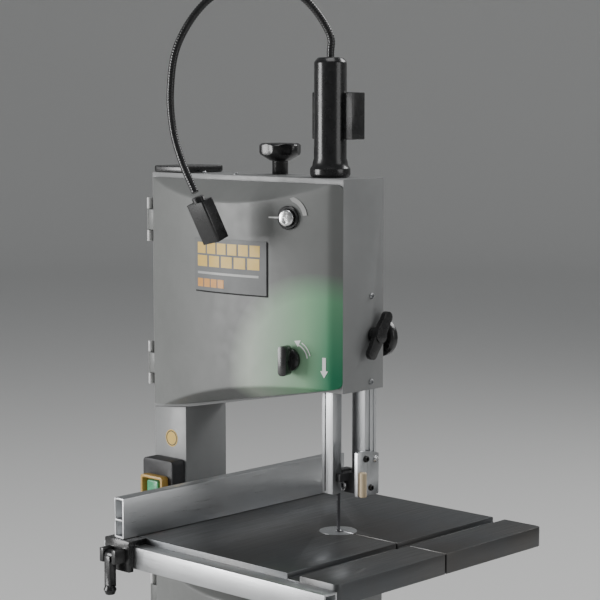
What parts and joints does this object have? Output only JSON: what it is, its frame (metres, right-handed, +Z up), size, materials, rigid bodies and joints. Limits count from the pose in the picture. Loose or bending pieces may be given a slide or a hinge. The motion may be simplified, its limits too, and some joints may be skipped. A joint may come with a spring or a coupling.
{
  "type": "band saw",
  "caption": "Bench-top band saw with bow-fronted hinged doors, tilting iron table with rip fence, rise-and-fall blade guide and gooseneck work lamp.",
  "frame": {"origin": "centre of the underside of the base plate", "axes": "+Z up, -Y towards the operator (the doors), column on the -X side, blade plane at y = 0"},
  "size_m": [0.4959, 0.4505, 1.0902],
  "materials": {
    "frame_paint": "satin",
    "door_paint": "satin",
    "hinge_paint": "satin",
    "black_plastic": "gloss",
    "cast_iron": "machined",
    "cast_parts": "painted black",
    "aluminium": "satin",
    "steel": "bright",
    "rubber": "matt",
    "switch_plastic": "textured",
    "yellow_plastic": "satin",
    "green_plastic": "gloss",
    "red_plastic": "gloss"
  },
  "bodies": {
    "frame": {"base_plate": "cast_parts", "lower_wheel_box": "frame_paint", "column": "frame_paint", "upper_wheel_box": "frame_paint", "column_cap": "black_plastic", "dust_port": "switch_plastic", "upper_hinge_1": "hinge_paint", "upper_hinge_2": "hinge_paint", "lower_hinge_1": "hinge_paint", "lower_hinge_2": "hinge_paint", "tension_rails": "steel", "tension_spring": "steel", "lower_axle": "steel", "motor_body": "aluminium", "post_guide": "cast_parts", "tilt_cradle": "cast_parts", "lower_guide_block": "cast_parts", "switch_box": "switch_plastic", "switch_surround": "yellow_plastic", "lamp_post": "black_plastic", "saw_blade": "steel", "drive_belt": "rubber"},
    "upper_door": {"upper_door": "door_paint"},
    "upper_door_lock": {"upper_door_lock": "steel"},
    "upper_door_latch": {"upper_door_latch": "black_plastic"},
    "lower_door": {"lower_door": "door_paint"},
    "lower_door_latch": {"lower_door_latch": "black_plastic"},
    "tension_knob": {"tension_knob": "black_plastic", "tension_screw": "steel"},
    "tension_carrier": {"tension_block": "cast_parts"},
    "tracking_knob": {"tracking_knob": "black_plastic"},
    "axle_arm": {"upper_axle_arm": "steel"},
    "upper_wheel": {"upper_wheel": "aluminium", "upper_tyre": "rubber"},
    "lower_wheel": {"lower_wheel": "aluminium", "lower_tyre": "rubber"},
    "motor_pulley": {"motor_pulley": "aluminium"},
    "guide_post": {"guide_post": "aluminium", "guide_block": "cast_parts", "guide_plate": "aluminium", "blade_guard": "aluminium"},
    "rise_fall": {"pinion_shaft": "steel", "rise_fall_handwheel": "black_plastic"},
    "upper_thrust_bearing": {"upper_thrust_bearing": "steel"},
    "guide_roller_left": {"guide_roller_left": "steel"},
    "guide_roller_right": {"guide_roller_right": "steel"},
    "lower_thrust_bearing": {"lower_thrust_bearing": "steel"},
    "post_lock_knob": {"post_lock_knob": "black_plastic"},
    "table": {"table": "cast_iron", "table_insert": "aluminium", "table_trunnion": "cast_parts", "fence_rail": "aluminium"},
    "tilt_lock_knob": {"tilt_lock_knob": "black_plastic"},
    "fence": {"fence_body": "aluminium", "fence_carriage": "black_plastic"},
    "fence_lever": {"fence_lever": "black_plastic"},
    "start_button": {"start_button": "green_plastic"},
    "stop_button": {"stop_button": "red_plastic"},
    "lamp": {"lamp_gooseneck": "black_plastic", "lamp_head": "black_plastic"}
  },
  "joints": [
    {"name": "upper_door_hinge", "type": "hinge", "parent": "frame", "child": "upper_door", "pos_m": [-0.18, -0.0438, 0.675], "axis": [0, 0, -1], "range_deg": [0, 110]},
    {"name": "upper_door_lock_turn", "type": "hinge", "parent": "upper_door", "child": "upper_door_lock", "pos_m": [0.11, -0.06895, 0.786], "axis": [0.2375, -0.9714, 0], "range_deg": [0, 90]},
    {"name": "upper_door_latch_turn", "type": "hinge", "parent": "upper_door", "child": "upper_door_latch", "pos_m": [0.112, -0.06845, 0.606], "axis": [0.2416, -0.9704, 0], "range_deg": [0, 90]},
    {"name": "lower_door_hinge", "type": "hinge", "parent": "frame", "child": "lower_door", "pos_m": [-0.18, -0.0438, 0.16], "axis": [0, 0, -1], "range_deg": [0, 110]},
    {"name": "lower_door_latch_turn", "type": "hinge", "parent": "lower_door", "child": "lower_door_latch", "pos_m": [0.112, -0.06845, 0.2359], "axis": [0.2416, -0.9704, 0], "range_deg": [0, 90]},
    {"name": "tension_turn", "type": "hinge", "parent": "frame", "child": "tension_knob", "pos_m": [0.00505, 0.0245, 0.84], "axis": [0, 0, 1], "range_deg": [0, 1080]},
    {"name": "tension_slide", "type": "slide", "parent": "frame", "child": "tension_carrier", "axis": [0, 0, 1], "range_m": [-0.009, 0], "deforming": ["tension_spring"]},
    {"name": "tracking_turn", "type": "hinge", "parent": "frame", "child": "tracking_knob", "pos_m": [0.00505, 0.05, 0.6562], "axis": [0, 1, 0], "range_deg": [-180, 180]},
    {"name": "tracking_tilt", "type": "hinge", "parent": "tension_carrier", "child": "axle_arm", "pos_m": [0.00505, 0.0205, 0.7162], "axis": [1, 0, 0], "range_deg": [-1, 1]},
    {"name": "upper_wheel_spin", "type": "hinge", "parent": "axle_arm", "child": "upper_wheel", "pos_m": [0.00505, 0, 0.6862], "axis": [0, 1, 0], "continuous": true},
    {"name": "lower_wheel_spin", "type": "hinge", "parent": "frame", "child": "lower_wheel", "pos_m": [0.00505, 0, 0.1631], "axis": [0, 1, 0], "continuous": true},
    {"name": "motor_spin", "type": "hinge", "parent": "frame", "child": "motor_pulley", "pos_m": [-0.08695, 0, 0.1151], "axis": [0, 1, 0], "continuous": true},
    {"name": "guide_post_slide", "type": "slide", "parent": "frame", "child": "guide_post", "axis": [0, 0, 1], "range_m": [-0.05, 0.063]},
    {"name": "rise_fall_turn", "type": "hinge", "parent": "frame", "child": "rise_fall", "pos_m": [0.1588, 0.025, 0.628], "axis": [0, 1, 0], "range_deg": [-722.5, 573.5]},
    {"name": "upper_thrust_spin", "type": "hinge", "parent": "guide_post", "child": "upper_thrust_bearing", "pos_m": [0.133, 0.0146, 0.441], "axis": [1, 0, 0], "continuous": true},
    {"name": "guide_roller_left_spin", "type": "hinge", "parent": "guide_post", "child": "guide_roller_left", "pos_m": [0.1253, 0, 0.437], "axis": [0, 1, 0], "continuous": true},
    {"name": "guide_roller_right_spin", "type": "hinge", "parent": "guide_post", "child": "guide_roller_right", "pos_m": [0.1407, 0, 0.437], "axis": [0, 1, 0], "continuous": true},
    {"name": "lower_thrust_spin", "type": "hinge", "parent": "frame", "child": "lower_thrust_bearing", "pos_m": [0.133, 0.0116, 0.3259], "axis": [1, 0, 0], "continuous": true},
    {"name": "post_lock_turn", "type": "hinge", "parent": "frame", "child": "post_lock_knob", "pos_m": [0.177, 0.0155, 0.6355], "axis": [1, 0, 0], "range_deg": [0, 180]},
    {"name": "table_tilt", "type": "hinge", "parent": "frame", "child": "table", "pos_m": [0.133, 0, 0.376], "axis": [0, 1, 0], "range_deg": [0, 45]},
    {"name": "tilt_lock_turn", "type": "hinge", "parent": "frame", "child": "tilt_lock_knob", "pos_m": [0.133, -0.05, 0.323], "axis": [0, -1, 0], "range_deg": [0, 180]},
    {"name": "fence_slide", "type": "slide", "parent": "table", "child": "fence", "axis": [1, 0, 0], "range_m": [-0.02, 0.105]},
    {"name": "fence_lever_turn", "type": "hinge", "parent": "fence", "child": "fence_lever", "pos_m": [-0.04, -0.238, 0.357], "axis": [1, 0, 0], "range_deg": [-80, 0]},
    {"name": "start_button_press", "type": "slide", "parent": "frame", "child": "start_button", "axis": [0, 1, 0], "range_m": [0, 0.003], "stiffness_N_per_m": 600},
    {"name": "stop_button_press", "type": "slide", "parent": "frame", "child": "stop_button", "axis": [0, 1, 0], "range_m": [0, 0.003], "stiffness_N_per_m": 600},
    {"name": "lamp_swivel", "type": "hinge", "parent": "frame", "child": "lamp", "pos_m": [0.118, 0, 0.98], "axis": [0, 0, 1], "range_deg": [-20, 70], "deforming": ["lamp_gooseneck", "lamp_head"]}
  ],
  "couplings": [
    {"joint": "tension_turn", "follows": "tension_slide", "rad_per_m": -2094},
    {"joint": "tracking_tilt", "follows": "tracking_turn", "ratio": 0.0055},
    {"joint": "upper_wheel_spin", "follows": "lower_wheel_spin", "ratio": 1},
    {"joint": "motor_spin", "follows": "lower_wheel_spin", "ratio": 1.4},
    {"joint": "rise_fall_turn", "follows": "guide_post_slide", "rad_per_m": -200}
  ]
}
